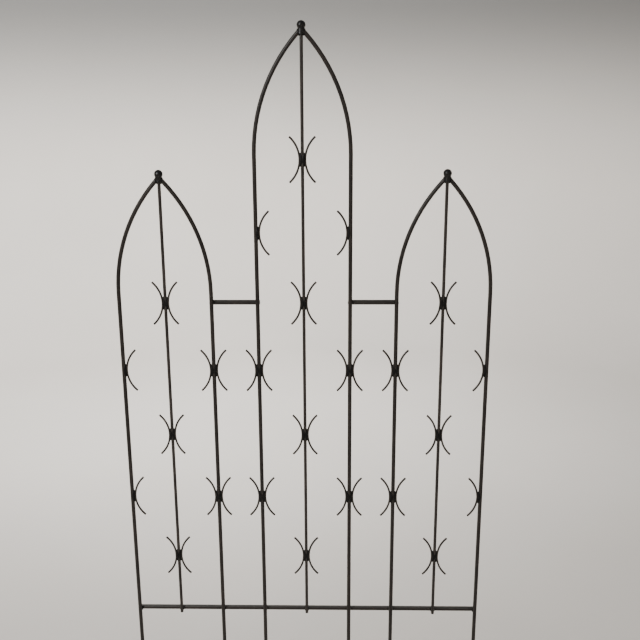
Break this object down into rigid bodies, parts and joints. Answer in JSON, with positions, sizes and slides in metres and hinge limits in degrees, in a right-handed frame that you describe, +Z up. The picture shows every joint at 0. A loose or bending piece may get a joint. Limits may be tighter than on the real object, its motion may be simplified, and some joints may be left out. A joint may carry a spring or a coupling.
{
  "type": "garden trellis",
  "caption": "Flat garden trellis of black round bar: pointed arches with ball finials, thin centre rods, back-to-back bent wires, a low crossbar and long legs for the soil.",
  "frame": {"origin": "midway between the tips of the two outer legs, at the level of the six leg tips, on the plane through the axes of the legs", "axes": "+Z up; X along the width of the panel; +Y from the front, where the uprights are, to the back, where the bars are"},
  "size_m": [0.914, 0.0276, 1.829],
  "materials": {
    "frame_bar": "satin black coating, slightly uneven",
    "centre_rod": "satin black coating, slightly uneven",
    "scroll_wire": "satin black coating, slightly uneven",
    "finial": "black coating, a little glossier",
    "weld_bead": "black coating over a rough bead"
  },
  "bodies": {
    "root": {"left_arch_outer_rod": "frame_bar", "left_arch_inner_rod": "frame_bar", "middle_arch_left_rod": "frame_bar", "middle_arch_right_rod": "frame_bar", "right_arch_inner_rod": "frame_bar", "right_arch_outer_rod": "frame_bar", "bottom_crossbar": "frame_bar", "left_spacer_bar": "frame_bar", "right_spacer_bar": "frame_bar", "left_centre_rod": "centre_rod", "middle_centre_rod": "centre_rod", "right_centre_rod": "centre_rod", "wire_middle_centre_row1_left": "scroll_wire", "wire_middle_centre_row1_right": "scroll_wire", "wire_middle_centre_row3_left": "scroll_wire", "wire_middle_centre_row3_right": "scroll_wire", "wire_middle_centre_row5_left": "scroll_wire", "wire_middle_centre_row5_right": "scroll_wire", "wire_middle_centre_row7_left": "scroll_wire", "wire_middle_centre_row7_right": "scroll_wire", "wire_left_centre_row3_left": "scroll_wire", "wire_left_centre_row3_right": "scroll_wire", "wire_left_centre_row5_left": "scroll_wire", "wire_left_centre_row5_right": "scroll_wire", "wire_left_centre_row7_left": "scroll_wire", "wire_left_centre_row7_right": "scroll_wire", "wire_right_centre_row3_left": "scroll_wire", "wire_right_centre_row3_right": "scroll_wire", "wire_right_centre_row5_left": "scroll_wire", "wire_right_centre_row5_right": "scroll_wire", "wire_right_centre_row7_left": "scroll_wire", "wire_right_centre_row7_right": "scroll_wire", "wire_left_inner_leg_row4_left": "scroll_wire", "wire_left_inner_leg_row4_right": "scroll_wire", "wire_left_inner_leg_row6_left": "scroll_wire", "wire_left_inner_leg_row6_right": "scroll_wire", "wire_middle_left_leg_row4_left": "scroll_wire", "wire_middle_left_leg_row4_right": "scroll_wire", "wire_middle_left_leg_row6_left": "scroll_wire", "wire_middle_left_leg_row6_right": "scroll_wire", "wire_middle_right_leg_row4_left": "scroll_wire", "wire_middle_right_leg_row4_right": "scroll_wire", "wire_middle_right_leg_row6_left": "scroll_wire", "wire_middle_right_leg_row6_right": "scroll_wire", "wire_right_inner_leg_row4_left": "scroll_wire", "wire_right_inner_leg_row4_right": "scroll_wire", "wire_right_inner_leg_row6_left": "scroll_wire", "wire_right_inner_leg_row6_right": "scroll_wire", "wire_middle_left_leg_row2_right": "scroll_wire", "wire_middle_right_leg_row2_left": "scroll_wire", "wire_left_outer_leg_row4_right": "scroll_wire", "wire_left_outer_leg_row6_right": "scroll_wire", "wire_right_outer_leg_row4_left": "scroll_wire", "wire_right_outer_leg_row6_left": "scroll_wire", "left_finial": "finial", "middle_finial": "finial", "right_finial": "finial", "scroll_welds": "weld_bead", "bar_welds": "weld_bead", "finial_welds": "weld_bead"}
  },
  "joints": []
}
